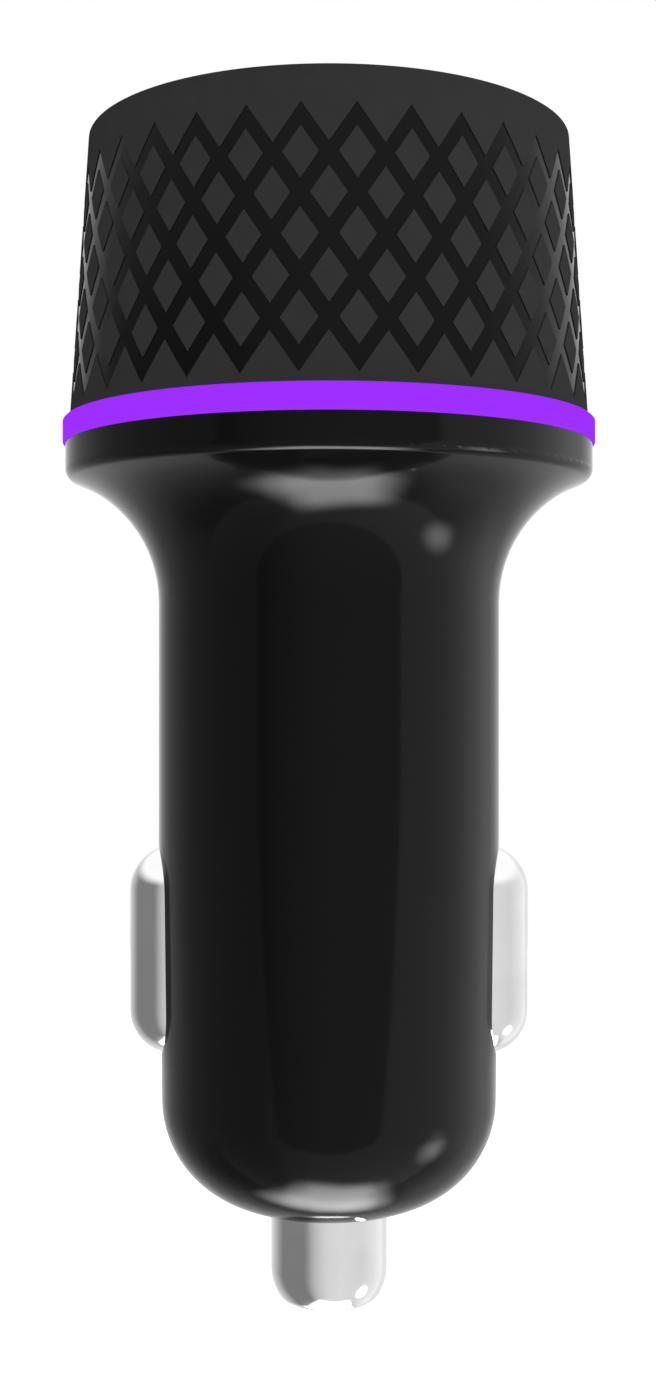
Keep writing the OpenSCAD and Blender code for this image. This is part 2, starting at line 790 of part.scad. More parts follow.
// Cup under the main board that the tip spring presses on
module tip_seat() {
  ear_w = 4;
  ear_h = 1.6;
  peg_h = 1;
  color([0.85, 0.7, 0.35]) {
    translate([0, 0, tip_seat_z]) cylinder(r = tip_seat_r, h = tip_seat_t);
    translate([0, 0, tip_seat_z - peg_h]) cylinder(r = tip_peg_r, h = peg_h + eps);
    for (side = [-1, 1])
      translate([side * (board_t + pad_t) / 2, 0, main_board_z + ear_h / 2])
        cube([pad_t, ear_w, ear_h + 2 * eps], center = true);
  }
}

// Section of the tip pin: a side round, then an end round that touches it
module pin_outline() {
  away = [cos(pin_round_a), -sin(pin_round_a)];
  end_z = pin_end + pin_end_r;
  side_c = [pin_r - pin_side_r, end_z + (pin_side_r - pin_end_r) * sin(pin_round_a)];
  end_c = side_c + (pin_side_r - pin_end_r) * away;
  meet = side_c + pin_side_r * away;
  intersection() {
    translate(side_c) circle(pin_side_r);
    polygon([[0, side_c[1]], [pin_d, side_c[1]], [pin_d, meet[1]], meet, end_c, [0, end_z]]);
  }
  translate(end_c) circle(pin_end_r);
  translate([0, pin_end]) square([end_c[0], side_c[1] - pin_end]);
  polygon([[0, side_c[1] - eps], [pin_r, side_c[1] - eps], [pin_r, floor_z], [pin_flange_d / 2, floor_z],
    [pin_flange_d / 2, flange_top], [tip_peg_r, flange_top], [tip_peg_r, flange_top + pin_peg_h],
    [0, flange_top + pin_peg_h]]);
}

module tip_pin() {
  groove_r = (pow(pin_groove_w / 2, 2) + pow(pin_groove_deep, 2)) / (2 * pin_groove_deep);
  dome_r = 0.8;
  color([0.8, 0.8, 0.82]) difference() {
    rotate_extrude() pin_outline();
    difference() {
      for (turn = [0, 90])
        rotate([0, 0, turn]) translate([0, 0, pin_end + pin_groove_deep - groove_r]) rotate([90, 0, 0])
          cylinder(r = groove_r, h = pin_d + 2, center = true);
      cylinder(r = dome_r, h = 4 * barrel_len, center = true);
    }
  }
}

// The round body of a side contact from x0 outwards, set in by a depth on every side
module contact_body(x0, depth) {
  r = contact_round_r - depth;
  w = contact_w - 2 * depth;
  puck_z = contact_h / 2 - contact_round_r;
  bar_x(x0, contact_x, w, contact_h - 2 * depth, r);
  // Straight front between the round ends
  translate([0, 0, -puck_z]) linear_extrude(2 * puck_z) intersection() {
    translate([contact_x + r - contact_w, 0]) round_rect(2 * contact_w, w, r);
    translate([contact_x - 1, -contact_w]) square(2 * contact_w);
  }
  for (z = [-puck_z, puck_z]) {
    translate([contact_x, 0, z]) rotate([90, 0, 0]) cylinder(r = r, h = w - 2 * r, center = true);
    for (y = [r - w / 2, w / 2 - r])
      translate([contact_x, y, z]) sphere(r);
  }
}

// A side contact that points along +X: a drawn cup with round sides and a flange inside
module side_contact() {
  flange_x = flat_at - contact_flange_t;
  color([0.8, 0.8, 0.82]) translate([0, 0, contact_z]) difference() {
    union() {
      contact_body(flange_x, 0);
      bar_x(flange_x, flat_at, flange_w, flange_h, contact_round_r);
    }
    contact_body(flange_x - 1, contact_wall);
  }
}

module tip_spring() {
  color([0.75, 0.75, 0.75]) translate([0, 0, flange_top + seat_gap])
    spring(tip_spring_r, tip_wire, tip_seat_z - flange_top - 2 * seat_gap, tip_turns);
}

module side_spring() {
  color([0.75, 0.75, 0.75]) translate([pad_at + seat_gap, 0, contact_z]) rotate([0, 90, 0])
    spring(side_spring_r, side_wire, side_spring_end - pad_at - seat_gap, side_turns);
}

barrel_housing();
light_ring();
grip_sleeve();
face_plate();
usb_shell(-1);  // usb_shell_front
usb_shell(1);  // usb_shell_rear
usb_tongue(-1);  // usb_tongue_front
usb_tongue(1);  // usb_tongue_rear
usb_strips(-1);  // usb_strips_front
usb_strips(1);  // usb_strips_rear
port_board();
ring_leds();
board_screws();
main_board();
power_inductor();
input_capacitor();
output_capacitor();
converter_chip();
charge_chip();
rectifier_diode();
input_fuse();
chip_parts();
ground_seat();
tip_seat();
tip_pin();
tip_spring();
rotate([0, 0, 180]) side_contact();  // side_contact_left
side_contact();  // side_contact_right
rotate([0, 0, 180]) side_spring();  // side_spring_left
side_spring();  // side_spring_right
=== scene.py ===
import json
import math

import bmesh
import bpy
import numpy as np
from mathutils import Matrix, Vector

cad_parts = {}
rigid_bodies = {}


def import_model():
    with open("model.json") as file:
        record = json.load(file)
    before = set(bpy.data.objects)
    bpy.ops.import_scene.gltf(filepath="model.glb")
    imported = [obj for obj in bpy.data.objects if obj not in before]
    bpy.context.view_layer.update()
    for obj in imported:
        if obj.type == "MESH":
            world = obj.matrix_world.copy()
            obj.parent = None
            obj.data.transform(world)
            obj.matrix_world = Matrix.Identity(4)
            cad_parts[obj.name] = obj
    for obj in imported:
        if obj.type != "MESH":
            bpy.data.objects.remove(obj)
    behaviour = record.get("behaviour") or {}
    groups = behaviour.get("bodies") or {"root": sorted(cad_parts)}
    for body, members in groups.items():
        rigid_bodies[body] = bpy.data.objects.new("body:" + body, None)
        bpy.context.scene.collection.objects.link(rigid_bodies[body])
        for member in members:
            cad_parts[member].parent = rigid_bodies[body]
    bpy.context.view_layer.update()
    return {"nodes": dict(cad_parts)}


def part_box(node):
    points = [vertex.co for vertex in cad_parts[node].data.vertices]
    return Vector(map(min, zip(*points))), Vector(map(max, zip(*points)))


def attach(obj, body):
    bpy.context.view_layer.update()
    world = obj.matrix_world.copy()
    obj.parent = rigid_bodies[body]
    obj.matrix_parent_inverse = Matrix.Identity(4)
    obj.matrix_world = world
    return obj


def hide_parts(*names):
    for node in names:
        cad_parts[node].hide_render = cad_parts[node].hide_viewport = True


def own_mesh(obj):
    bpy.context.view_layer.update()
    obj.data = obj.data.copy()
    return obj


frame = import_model()
nodes = frame["nodes"]
mm = 0.001
print("frame loaded:", len(nodes), "pieces")


# Camera: level, close to the charger, seen from slightly below its head
camera = {
    "place": (0.0, -0.104, -0.00427),
    "turn": (90.0, 0.0, 0.0),
    "lens": 45.28,          # millimetres
    "frameWidth": 36.0,     # millimetres
    "shift": (-0.0007, -0.0091),
    "nearest": 0.01,
}


def addCamera(values):
    data = bpy.data.cameras.new("photoCamera")
    data.sensor_width = values["frameWidth"]
    data.sensor_fit = "AUTO"
    data.lens = values["lens"]
    data.shift_x, data.shift_y = values["shift"]
    data.clip_start = values["nearest"]
    holder = bpy.data.objects.new("photoCamera", data)
    holder.location = values["place"]
    holder.rotation_euler = [math.radians(angle) for angle in values["turn"]]
    bpy.context.scene.collection.objects.link(holder)
    bpy.context.scene.camera = holder


addCamera(camera)
bpy.context.scene.view_settings.view_transform = "Standard"
print("camera placed")


# Small helpers for node trees and meshes

def addNode(tree, kind, **inputs):
    node = tree.nodes.new(kind)
    for name, value in inputs.items():
        node.inputs[name].default_value = value
    return node


def feed(tree, socket, value):
    if isinstance(value, (int, float)):
        socket.default_value = value
    else:
        tree.links.new(value, socket)


def mathNode(tree, operation, *values):
    node = tree.nodes.new("ShaderNodeMath")
    node.operation = operation
    for socket, value in zip(node.inputs, values):
        feed(tree, socket, value)
    return node.outputs[0]


def mapRange(tree, value, low, high, toLow, toHigh):
    node = tree.nodes.new("ShaderNodeMapRange")
    node.interpolation_type = "SMOOTHSTEP"
    for name, number in (("Value", value), ("From Min", low), ("From Max", high),
                         ("To Min", toLow), ("To Max", toHigh)):
        feed(tree, node.inputs[name], number)
    return node.outputs["Result"]


def mixNode(tree, factor, a, b):
    node = tree.nodes.new("ShaderNodeMix")
    for name, value in (("Factor", factor), ("A", a), ("B", b)):
        feed(tree, node.inputs[name], value)
    return node.outputs["Result"]


def ramp(tree, factor, stops):
    node = tree.nodes.new("ShaderNodeValToRGB")
    elements = node.color_ramp.elements
    while len(elements) < len(stops):
        elements.new(0.5)
    for element, (position, grey) in zip(elements, stops):
        element.position = position
        element.color = (grey, grey, grey, 1.0)
    tree.links.new(factor, node.inputs["Fac"])
    return node.outputs["Color"]


def newPiece(name, points, faces):
    mesh = bpy.data.meshes.new(name)
    mesh.from_pydata(points, [], faces)
    mesh.update()
    piece = bpy.data.objects.new(name, mesh)
    bpy.context.scene.collection.objects.link(piece)
    return piece


# Four corners of each face between closed rings of point numbers, one ring a row
def ringFaces(rings):
    near, far = rings[:-1], rings[1:]
    corners = [near, far, np.roll(far, -1, axis=1), np.roll(near, -1, axis=1)]
    return np.stack(corners, axis=-1).reshape(-1, 4)


# Studio: white all round for matt surfaces, with brighter and darker walls in the gloss
studio = {
    # azimuth in degrees from the camera's side towards +X, and the wall's brightness there
    "walls": [(-180, 0.97), (-160, 0.97), (-138, 0.74), (-124, 0.57), (-113, 0.40), (-103, 0.28),
              (-50, 0.28), (-43, 0.36), (-37, 0.51), (-30, 0.64), (-24, 0.73), (-18, 0.80),
              (-6, 0.91), (0, 0.94), (24, 0.97), (50, 0.94), (68, 0.91), (94, 1.05), (113, 1.15),
              (124, 1.24), (138, 1.00), (180, 0.97)],
    "wallScale": 2.0,       # the ramp holds each wall as a share of this
    "ceilingFrom": 0.20,    # sine of the height at which the ceiling starts
    "ceilingFull": 0.55,
    "ceiling": 1.4,
    "groundFrom": -0.82,
    "groundFull": -0.94,
    "ground": 0.50,
    "lean": 0.3,            # how much more soft light comes from +X than from all round
    "floorDrop": 0.65,
    "floorSize": 8.0,
    "floorGrey": 0.9,
    "floorRoughness": 0.9,
}


def addStudioWorld(values):
    world = bpy.data.worlds.new("studio")
    bpy.context.scene.world = world
    world.use_nodes = True
    tree = world.node_tree
    tree.nodes.clear()
    parts = tree.nodes.new("ShaderNodeSeparateXYZ")
    tree.links.new(tree.nodes.new("ShaderNodeTexCoord").outputs["Generated"], parts.inputs[0])
    x, y, z = parts.outputs
    angle = mathNode(tree, "ARCTAN2", x, mathNode(tree, "MULTIPLY", y, -1.0))
    turn = mathNode(tree, "ADD", mathNode(tree, "DIVIDE", angle, 2.0 * math.pi), 0.5)
    scale = values["wallScale"]
    stops = [(0.5 + azimuth / 360.0, grey / scale) for azimuth, grey in values["walls"]]
    walls = mathNode(tree, "MULTIPLY", ramp(tree, turn, stops), scale)
    high = mapRange(tree, z, values["ceilingFrom"], values["ceilingFull"], 0.0, 1.0)
    low = mapRange(tree, z, values["groundFull"], values["groundFrom"], 1.0, 0.0)
    room = mixNode(tree, low, mixNode(tree, high, walls, values["ceiling"]), values["ground"])
    paths = tree.nodes.new("ShaderNodeLightPath")
    leaning = mathNode(tree, "ADD", mathNode(tree, "MULTIPLY", x, values["lean"]), 1.0)
    soft = mixNode(tree, paths.outputs["Is Camera Ray"], leaning, 1.0)
    gloss = mixNode(tree, paths.outputs["Is Glossy Ray"], soft, room)
    background = addNode(tree, "ShaderNodeBackground", Color=(1.0, 1.0, 1.0, 1.0))
    tree.links.new(gloss, background.inputs["Strength"])
    output = tree.nodes.new("ShaderNodeOutputWorld")
    tree.links.new(background.outputs[0], output.inputs["Surface"])


def addFloor(values):
    half, z = values["floorSize"] / 2.0, -values["floorDrop"]
    corners = [(-half, -half, z), (half, -half, z), (half, half, z), (-half, half, z)]
    floor = newPiece("floor", corners, [(0, 1, 2, 3)])
    material = bpy.data.materials.new("whiteFloor")
    material.use_nodes = True
    tree = material.node_tree
    shader = tree.nodes["Principled BSDF"]
    shader.inputs["Base Color"].default_value = (*[values["floorGrey"]] * 3, 1.0)
    shader.inputs["Roughness"].default_value = values["floorRoughness"]
    shader.inputs["Emission Color"].default_value = (1.0, 1.0, 1.0, 1.0)
    paths = tree.nodes.new("ShaderNodeLightPath")
    tree.links.new(paths.outputs["Is Camera Ray"], shader.inputs["Emission Strength"])
    floor.data.materials.append(material)
    floor.visible_glossy = False


addStudioWorld(studio)
addFloor(studio)


# Lamps: a soft-edged square straight below the nose, a small round lamp low on the right for the
# plastics and one for the metals, and three large faint panels, the front one with a round hole,
# that only the barrel's gloss shows. "fade" is the share of the size in which the brightness falls
# to nothing: one for a round lamp, and towards the -x, +x, -y and +y edges for a rectangle.
lamps = {
    "below": {"shape": "RECTANGLE", "size": (0.235, 0.235), "place": (0.0033, -0.0155, -0.26),
              "turn": (180.0, 0.0, 17.2), "radiance": 22.0, "fade": (0.35, 0.35, 0.42, 0.3),
              "on": "all"},
    "low": {"shape": "ELLIPSE", "size": (0.21, 0.21), "place": (0.360, -0.075, -0.242),
            "turn": (123.4, 0.0, 78.2), "radiance": 10.0, "fade": (0.5,), "on": "plastic"},
    "glint": {"shape": "ELLIPSE", "size": (0.17, 0.17), "place": (0.360, -0.075, -0.34),
              "turn": (133.0, 0.0, 78.2), "radiance": 30.0, "fade": (0.2,), "on": "metal"},
    "front": {"shape": "RECTANGLE", "size": (1.2, 1.2), "place": (0.0, -0.051, -0.005),
              "turn": (90.0, 0.0, 0.0), "radiance": 1.0, "fade": (0.0, 0.0, 0.1, 0.1),
              "hole": 0.050, "holeSoftness": 0.03, "sides": (0.40, 1.0), "sideBlend": 0.05,
              "on": "barrel"},
    "left": {"shape": "RECTANGLE", "size": (0.7, 1.2), "place": (-0.6, 0.299, -0.005),
             "turn": (90.0, 0.0, -90.0), "radiance": 0.40, "fade": (0.9, 0.0, 0.4, 0.4),
             "on": "barrel"},
    "right": {"shape": "RECTANGLE", "size": (0.7, 1.2), "place": (0.6, 0.299, -0.005),
              "turn": (90.0, 0.0, 90.0), "radiance": 1.1, "fade": (0.0, 0.9, 0.4, 0.4),
              "on": "barrel"},
}


# The brightness over a lamp's face: every fade, the hole and the two sides, multiplied together
def lampFace(tree, values):
    parts = tree.nodes.new("ShaderNodeSeparateXYZ")
    tree.links.new(tree.nodes.new("ShaderNodeNewGeometry").outputs["Parametric"], parts.inputs[0])
    offsets = [mathNode(tree, "SUBTRACT", parts.outputs[axis], 0.5) for axis in (0, 1)]
    squares = [mathNode(tree, "MULTIPLY", offset, offset) for offset in offsets]
    fromCentre = mathNode(tree, "SQRT", mathNode(tree, "ADD", *squares))
    fade, levels = values["fade"], []
    if values["shape"] == "ELLIPSE":
        levels.append(mapRange(tree, fromCentre, 0.5 - fade[0], 0.5, 1.0, 0.0))
    else:
        for offset, nearShare, farShare in zip(offsets, fade[::2], fade[1::2]):
            if nearShare > 0.0:
                levels.append(mapRange(tree, offset, -0.5, -0.5 + nearShare, 0.0, 1.0))
            if farShare > 0.0:
                levels.append(mapRange(tree, offset, 0.5 - farShare, 0.5, 1.0, 0.0))
    if "hole" in values:
        rim, soft = values["hole"] / values["size"][0], values["holeSoftness"]
        levels.append(mapRange(tree, fromCentre, (1.0 - soft) * rim, (1.0 + soft) * rim, 0.0, 1.0))
    if "sides" in values:
        blend = values["sideBlend"]
        levels.append(mapRange(tree, offsets[0], -blend, blend, *values["sides"]))
    level = levels[0]
    for other in levels[1:]:
        level = mathNode(tree, "MULTIPLY", level, other)
    return level


def addLamp(name, values):
    data = bpy.data.lights.new(name, "AREA")
    data.shape = values["shape"]
    data.size, data.size_y = values["size"]
    area = data.size * data.size_y
    if values["shape"] == "ELLIPSE":
        area *= math.pi / 4.0
    data.energy = values["radiance"] * math.pi * area
    data.use_nodes = True
    tree = data.node_tree
    tree.links.new(lampFace(tree, values), tree.nodes["Emission"].inputs["Strength"])
    lamp = bpy.data.objects.new(name, data)
    lamp.location = values["place"]
    lamp.rotation_euler = [math.radians(angle) for angle in values["turn"]]
    lamp.visible_camera = False
    lamp.visible_diffuse = values["on"] != "barrel"
    bpy.context.scene.collection.objects.link(lamp)
    return lamp


lampObjects = {name: addLamp(name, values) for name, values in lamps.items()}
print("studio ready:", len(lamps), "lamps")


# Finishes: one Principled material for each slot of the record
finishes = {
    "gloss_black_plastic": {"name": "glossBlackPlastic", "color": (0.002, 0.002, 0.0022),
                            "roughness": 0.10, "level": 0.094},
    "lit_diffuser": {"name": "litDiffuser", "color": (0.01, 0.004, 0.02), "roughness": 0.9,
                     "level": 0.0, "glow": (0.332, 0.024, 1.0)},
    "matte_black_plastic": {"name": "mattBlackPlastic", "color": (0.0307, 0.0307, 0.0312),
                            "roughness": 0.8, "level": 0.0, "grain": 900.0, "bump": 0.03},
    "face_plastic": {"name": "satinBlackPlastic", "color": (0.012, 0.012, 0.013),
                     "roughness": 0.35, "level": 0.4, "grain": 700.0, "bump": 0.03},
    "port_steel": {"name": "portSteel", "color": (0.62, 0.62, 0.63), "roughness": 0.25,
                   "metal": 1.0},
    "port_insulator": {"name": "portInsulator", "color": (0.02, 0.02, 0.02), "roughness": 0.5,
                       "level": 0.4},
    "gold_contact": {"name": "goldPlate", "color": (0.83, 0.61, 0.26), "roughness": 0.2,
                     "metal": 1.0},
    "circuit_board": {"name": "solderMask", "color": (0.01, 0.09, 0.035), "roughness": 0.35},
    "led_package": {"name": "emitterPackage", "color": (0.8, 0.75, 0.55), "roughness": 0.4},
    "screw_steel": {"name": "screwZinc", "color": (0.5, 0.5, 0.52), "roughness": 0.3,
                    "metal": 1.0},
    "ferrite": {"name": "pressedFerrite", "color": (0.05, 0.05, 0.055), "roughness": 0.6,
                "level": 0.4},
    "capacitor_can": {"name": "bareCan", "color": (0.6, 0.6, 0.62), "roughness": 0.3,
                      "metal": 1.0},
    "chip_package": {"name": "chipEpoxy", "color": (0.015, 0.015, 0.015), "roughness": 0.6,
                     "level": 0.4},
    "fuse_ceramic": {"name": "fuseCeramic", "color": (0.75, 0.72, 0.62), "roughness": 0.4},
    "ceramic_parts": {"name": "chipCeramic", "color": (0.2, 0.13, 0.08), "roughness": 0.5},
    "tinned_brass": {"name": "tinnedBrass", "color": (0.62, 0.58, 0.48), "roughness": 0.3,
                     "metal": 1.0},
    "nickel": {"name": "brightNickel", "color": (0.70, 0.70, 0.705), "roughness": 0.08,
               "metal": 1.0},
    "spring_steel": {"name": "springWire", "color": (0.45, 0.45, 0.46), "roughness": 0.3,
                     "metal": 1.0},
}
plainFinish = {"metal": 0.0, "level": 0.5, "grain": 300.0}     # where a finish names no other
grainDetail = 3.0
bumpHeight = 0.1 * mm
mottle = 0.1        # how far the grain takes a color up and down


def makeFinish(values):
    material = bpy.data.materials.new(values["name"])
    material.use_nodes = True
    tree = material.node_tree
    shader = tree.nodes["Principled BSDF"]
    shader.inputs["Roughness"].default_value = values["roughness"]
    shader.inputs["Metallic"].default_value = values["metal"]
    shader.inputs["Specular IOR Level"].default_value = values["level"]
    if "glow" in values:
        shader.inputs["Emission Color"].default_value = (*values["glow"], 1.0)
        shader.inputs["Emission Strength"].default_value = 1.0
    noise = addNode(tree, "ShaderNodeTexNoise", Scale=values["grain"], Detail=grainDetail)
    tree.links.new(tree.nodes.new("ShaderNodeTexCoord").outputs["Object"], noise.inputs["Vector"])
    mix = tree.nodes.new("ShaderNodeMix")
    mix.data_type = "RGBA"
    factor, darker, lighter, mixed = mix.inputs[0], mix.inputs[6], mix.inputs[7], mix.outputs[2]
    darker.default_value = (*[(1.0 - mottle) * part for part in values["color"]], 1.0)
    lighter.default_value = (*[(1.0 + mottle) * part for part in values["color"]], 1.0)
    tree.links.new(noise.outputs["Fac"], factor)
    tree.links.new(mixed, shader.inputs["Base Color"])
    if "bump" in values:
        bump = addNode(tree, "ShaderNodeBump", Strength=values["bump"], Distance=bumpHeight)
        tree.links.new(noise.outputs["Fac"], bump.inputs["Height"])
        tree.links.new(bump.outputs["Normal"], shader.inputs["Normal"])
    return material


materials = {slot: makeFinish({**plainFinish, **values}) for slot, values in finishes.items()}
for node in nodes.values():
    for index, old in enumerate(node.data.materials):
        slotName = old.name.split(".")[0] if old else ""
        if slotName in materials:
            node.data.materials[index] = materials[slotName]
nodes["light_ring"].visible_diffuse = False     # the ring throws no purple on its neighbours
print("finishes on", len(nodes), "pieces")


# Grip: raised matt diamonds over glossy grooves, on a cone
grip = {
    "base": 15.44 * mm,         # radius at the light ring
    "taper": 1.12 * mm,
    "columns": 31,
    "rows": 5,
    "firstRow": 3.4 * mm,       # height of the lowest row's centre above the base
    "rowPitch": 2.16 * mm,
    "landShare": 0.66,
    "edge": 0.006,              # half width of a land's bevel, as a share of its cell
    "edgeLift": 0.6,            # height of the bevel's middle, as a share of the groove's depth
    "bandInsets": (0.05, 0.09), # lower and upper zigzag edge, moved inwards, in rows
    "grooveDepth": 0.06 * mm,
    "bandSteps": 3,
    "topRound": 0.1 * mm,
    "topSteps": 4,
    # inner walls: radius, and height over the base or depth under the top
    "boreOverBase": [(13.1 * mm, 0.0), (13.1 * mm, 3.47 * mm), (12.6 * mm, 3.47 * mm)],
    "seatUnderTop": [(12.6 * mm, 3.18 * mm), (11.9 * mm, 3.18 * mm), (11.9 * mm, 2.18 * mm),
                     (12.7 * mm, 2.18 * mm), (12.7 * mm, 0.0)],
    "weld": 0.0001 * mm,
    "sharpFrom": 25.0,          # degrees
    "flatWeight": 90,
}


# The sleeve's points, faces and land marks. A diagonal grid has u = p + q in half columns and
# v = p - q in rows, so each unit cell of (p, q) holds one diamond. The height over the groove is
# the smaller of a step in p and a step in q. The plain bands are 1 less the same steps of the
# first and the last row, moved inwards by a small inset, and are ruled from their zigzag edge to
# the straight edge. A point's radius is the cone's less what the groove takes, and its angle
# grows evenly with u, which is 0 at the front.
def gripSleeve(values):
    low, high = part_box("grip_sleeve")
    zLow, zHigh = low[2], high[2]
    columns, rows = values["columns"], values["rows"]
    lastRow = rows - 1
    depth, edge, half = values["grooveDepth"], values["edge"], values["landShare"] / 2.0
    bevel = ([-edge, 0.0, edge], [0.0, values["edgeLift"], 1.0])
    lowMove, highMove = values["bandInsets"][0], -values["bandInsets"][1]

    def coneRadius(z):
        return values["base"] - values["taper"] * (z - zLow) / (zHigh - zLow)

    def rowStep(z):
        return values["rowPitch"] * coneRadius(z) / (values["base"] - values["taper"] / 2.0)

    heights = [zLow + values["firstRow"]]
    for _ in range(lastRow):
        heights.append(heights[-1] + rowStep(heights[-1]))
    lowStep, highStep = rowStep(heights[0]), rowStep(heights[-1])
    heights = [heights[0] - 2 * lowStep, heights[0] - lowStep, *heights,
               heights[-1] + highStep, heights[-1] + 2 * highStep]

    def rowZ(v):
        return np.interp(v, np.arange(-2, lastRow + 3), heights)

    # Grid lines of one cell, with the height of a step across it: three lines at each bevel
    offsets = np.array([0.0, 0.5 - half - edge, 0.5 - half, 0.5 - half + edge, 0.5,
                        0.5 + half - edge, 0.5 + half, 0.5 + half + edge])
    steps = np.array([0.0, *bevel[1], 1.0, *bevel[1][::-1]])
    firstFlat, lastFlat = 3, 5      # the lines between which a land is flat
    fullLift = 0.99                 # a point this high is on a land
    lines = len(offsets)
    around = columns * lines

    def lineAt(index):
        return index // lines + offsets[index % lines]

    # How far a point is inside a band from the nearest side of its zigzag, and below 0 outside
    def bandReach(a, b):
        reach = np.full(np.broadcast(a, b).shape, 2.0)
        for shift in (-1, 0, 1, 2):
            middle = np.floor(b) + shift + 0.5
            reach = np.minimum(reach, np.maximum(a - middle, middle - b) - 1.0 + half)
        return reach

    def place(u, z, radius):
        angle = np.pi * (u / columns - 0.5)
        parts = [radius * np.cos(angle), radius * np.sin(angle), z + 0.0 * angle]
        return np.stack(parts, axis=-1).reshape(-1, 3)

    # The diagonal grid: i counts lines along p, and d = i - j counts lines up the sleeve
    across = (rows + 3) * lines + 1
    i = np.arange(around)[:, None]
    d = np.arange(across)[None, :] - 2 * lines
    p, q = lineAt(i) + 0.0 * d, lineAt(i - d)
    row = np.floor(p) - np.floor(q)
    diamonds = np.minimum(steps[i % lines] + 0.0 * d, steps[(i - d) % lines])
    diamonds = np.where((row >= 0) & (row <= lastRow), diamonds, 0.0)
    lowReach, highReach = bandReach(q, p), bandReach(p, q + lastRow)
    bands = np.interp(np.maximum(lowReach, highReach), *bevel)
    lift = np.maximum(diamonds, bands)
    bandSide = -1.5 * edge          # just outside the bevel's lower line
    z = rowZ(p - q + lowMove * (lowReach > bandSide) + highMove * (highReach > bandSide))
    points = [place(p + q, z, coneRadius(z) - depth * (1.0 - lift))]

    # Four corners of each cell, anticlockwise from outside: left, bottom, right and top. A cell
    # that turns a land's corner is cut into two triangles, along the corner's own ridge.
    number = np.arange(around * across).reshape(around, across)
    nextNumber = np.roll(number, -1, axis=0)
    inner = slice(1, across - 1)
    leftRight = number[:, inner], nextNumber[:, inner]
    bottomTop = number[:, :across - 2], nextNumber[:, 2:]
    cells = np.stack([leftRight[0], bottomTop[0], leftRight[1], bottomTop[1]], axis=-1)
    cells = cells.reshape(-1, 4)
    slope = np.roll(steps, -1) - steps
    ridge = (slope[i % lines] * slope[(i - d) % lines])[:, inner].reshape(-1)
    inBands = bands.reshape(-1)[cells].min(axis=1) > fullLift
    cells, ridge = cells[~inBands], ridge[~inBands]
    lifts = lift.reshape(-1)
    faces, isLand = [], []

    def addFaces(corners, areLand):
        faces.extend(corners.tolist())
        isLand.extend(areLand.tolist())

    cuts = [cells[ridge == 0]]
    for a, b, c, e, chosen in ((0, 1, 2, 3, ridge > 0), (1, 2, 3, 0, ridge < 0)):
        cuts += [cells[chosen][:, [a, b, c]], cells[chosen][:, [a, c, e]]]
    for cut in cuts:
        addFaces(cut, lifts[cut].min(axis=1) > 0.5)

    # The two plain bands, ruled from the zigzag's flat edge to the straight edge. Along a zigzag,
    # one of p and q runs while the other stays, and then the other way round.
    run = np.arange(lines)
    start = np.arange(columns)[:, None] * lines
    startA, startB = start + lines + firstFlat, start + lastFlat
    lineA = np.concatenate([startA + 0 * run, startA + run], axis=1).reshape(-1)
    lineB = np.concatenate([startB - lines + run, startB + 0 * run], axis=1).reshape(-1)
    straightTop = zHigh - values["topRound"]
    share = np.linspace(0.0, 1.0, values["bandSteps"] + 1)[:, None]
    count = len(points[0])
    for pLine, qLine, endZ, move, order in (
            (lineA, lineB - lastRow * lines, straightTop, highMove, -1),
            (lineB, lineA, zLow, lowMove, 1)):
        u = lineAt(pLine) + lineAt(qLine)
        bandZ = rowZ(lineAt(pLine) - lineAt(qLine) + move) * (1.0 - share) + endZ * share
        points.append(place(u + 0.0 * share, bandZ, coneRadius(bandZ)))
        ruled = ringFaces(count + np.arange(bandZ.size).reshape(bandZ.shape))[:, ::order]
        addFaces(ruled, np.full(len(ruled), True))
        count += bandZ.size

    # The walls inside and the round top edge, turned as one profile from the base to the upper band
    topRadius, roundTop = coneRadius(straightTop), values["topRound"]
    arc = np.linspace(0.5 * np.pi, 0.0, values["topSteps"] + 1)
    profile = np.array(
        [(values["base"], zLow)]
        + [(radius, zLow + height) for radius, height in values["boreOverBase"]]
        + [(radius, zHigh - under) for radius, under in values["seatUnderTop"]]
        + [(topRadius - roundTop + roundTop * math.cos(a), straightTop + roundTop * math.sin(a))
           for a in arc])
    points.append(place(u[None, :] + 0.0 * profile[:, :1], profile[:, 1:], profile[:, :1]))
    walls = ringFaces(count + np.arange(len(points[-1])).reshape(len(profile), -1))
    addFaces(walls, np.full(len(walls), True))
    return np.concatenate(points), faces, isLand


def addGrip(values):
    points, faces, isLand = gripSleeve(values)
    sleeve = newPiece("knurled_grip", points.tolist(), faces)
    sleeve.data.materials.append(materials["matte_black_plastic"])
    sleeve.data.materials.append(materials["gloss_black_plastic"])
    sleeve.data.polygons.foreach_set("material_index", [0 if land else 1 for land in isLand])
    sleeve.data.polygons.foreach_set("use_smooth", [True] * len(faces))
    work = bmesh.new()
    work.from_mesh(sleeve.data)
    bmesh.ops.remove_doubles(work, verts=work.verts, dist=values["weld"])
    work.to_mesh(sleeve.data)
    work.free()
    sleeve.data.set_sharp_from_angle(angle=math.radians(values["sharpFrom"]))
    weighted = sleeve.modifiers.new("flatLands", "WEIGHTED_NORMAL")
    weighted.weight = values["flatWeight"]
    weighted.keep_sharp = True
    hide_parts("grip_sleeve")
    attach(sleeve, "housing")
    print("grip ready:", len(faces), "faces")


addGrip(grip)


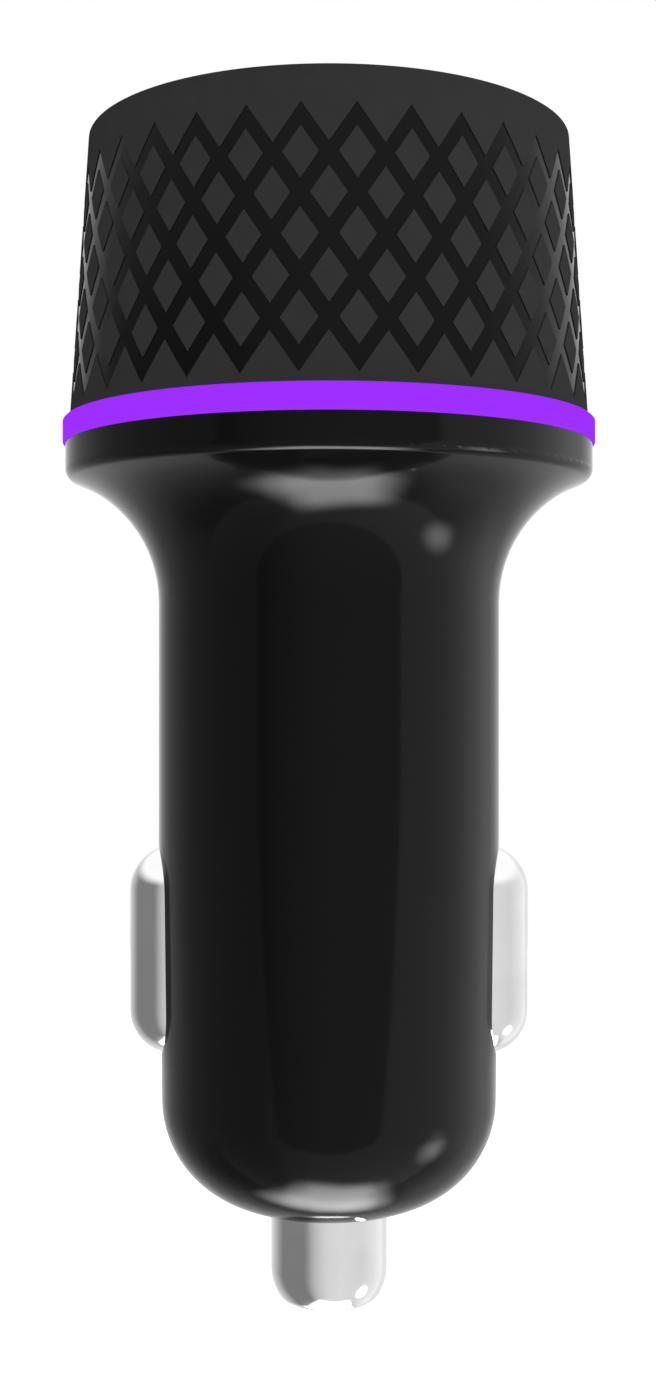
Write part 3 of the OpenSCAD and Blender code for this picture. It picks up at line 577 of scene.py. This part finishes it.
# Springs: round wire with closed end turns. Across, side and along are each one's own axes, and
# seatAt is the share of the length at which the seat is.
springs = {
    "tip_spring": {"wire": 0.5 * mm, "turns": 5, "joint": "tip_press", "seatAt": 1.0,
                   "across": (1, 0, 0), "side": (0, 1, 0), "along": (0, 0, 1)},
    "side_spring_left": {"wire": 0.4 * mm, "turns": 8, "joint": "left_contact_press",
                         "seatAt": 0.0, "across": (0, 0, -1), "side": (0, -1, 0),
                         "along": (-1, 0, 0)},
    "side_spring_right": {"wire": 0.4 * mm, "turns": 8, "joint": "right_contact_press",
                          "seatAt": 0.0, "across": (0, 0, -1), "side": (0, 1, 0),
                          "along": (1, 0, 0)},
}
stepsPerTurn = 36
wireSides = 12
wireSharpFrom = 60.0    # degrees


# A circle of wire carried along a helix: the angle grows evenly with the turns, and the height
# grows by one wire in the first and the last turn and evenly between them. The spring is as long
# and as wide as the CAD's.
def windSpring(name, values):
    low, high = (np.array(corner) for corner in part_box(name))
    along = np.array(values["along"], float)
    axis = int(np.argmax(np.abs(along)))
    length = high[axis] - low[axis]
    outer = max(np.delete(high - low, axis)) / 2.0
    foot = (low + high) / 2.0 - along * length / 2.0
    wire, turns = values["wire"], values["turns"]
    thick, run = wire / 2.0, length - wire
    s = np.linspace(0.0, turns, turns * stepsPerTurn + 1)[:, None]
    height = np.interp(s, [0.0, 1.0, turns - 1.0, turns], [0.0, wire, run - wire, run])
    a = 2.0 * np.pi * s
    b = 2.0 * np.pi * np.arange(wireSides)[None, :] / wireSides
    reach = outer - thick + thick * np.cos(b)
    parts = (reach * np.cos(a), reach * np.sin(a), thick + height + thick * np.sin(b))
    points = foot + sum(part[..., None] * np.array(values[key], float)
                        for part, key in zip(parts, ("across", "side", "along")))
    rings = np.arange(s.size * wireSides).reshape(s.size, wireSides)
    faces = ringFaces(rings).tolist() + [rings[0].tolist(), rings[-1][::-1].tolist()]
    spring = newPiece("wound_" + name, points.reshape(-1, 3).tolist(), faces)
    spring.data.polygons.foreach_set("use_smooth", [True] * len(faces))
    spring.data.set_sharp_from_angle(angle=math.radians(wireSharpFrom))
    spring.data.materials.append(materials["spring_steel"])
    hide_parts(name)
    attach(spring, "housing")
    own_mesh(spring)


for springName, springValues in springs.items():
    windSpring(springName, springValues)
print("springs wound:", len(springs))


# Each lamp but the softbox below shines on one family of pieces, so that metal and plastic get
# their own glints
plasticSlots = ("gloss_black_plastic", "matte_black_plastic", "face_plastic", "lit_diffuser")


def flagLamps(values, objects):
    plasticNames = [materials[slot].name for slot in plasticSlots]
    families = {name: bpy.data.collections.new(name + "Pieces")
                for name in ("plastic", "metal", "barrel")}
    for piece in bpy.context.scene.objects:
        if piece.type == "MESH" and piece.data.materials and piece.data.materials[0]:
            family = "plastic" if piece.data.materials[0].name in plasticNames else "metal"
            families[family].objects.link(piece)
    families["barrel"].objects.link(nodes["barrel_housing"])
    for name, lamp in objects.items():
        if values[name]["on"] in families:
            lamp.light_linking.receiver_collection = families[values[name]["on"]]


flagLamps(lamps, lampObjects)
print("lamps flagged")
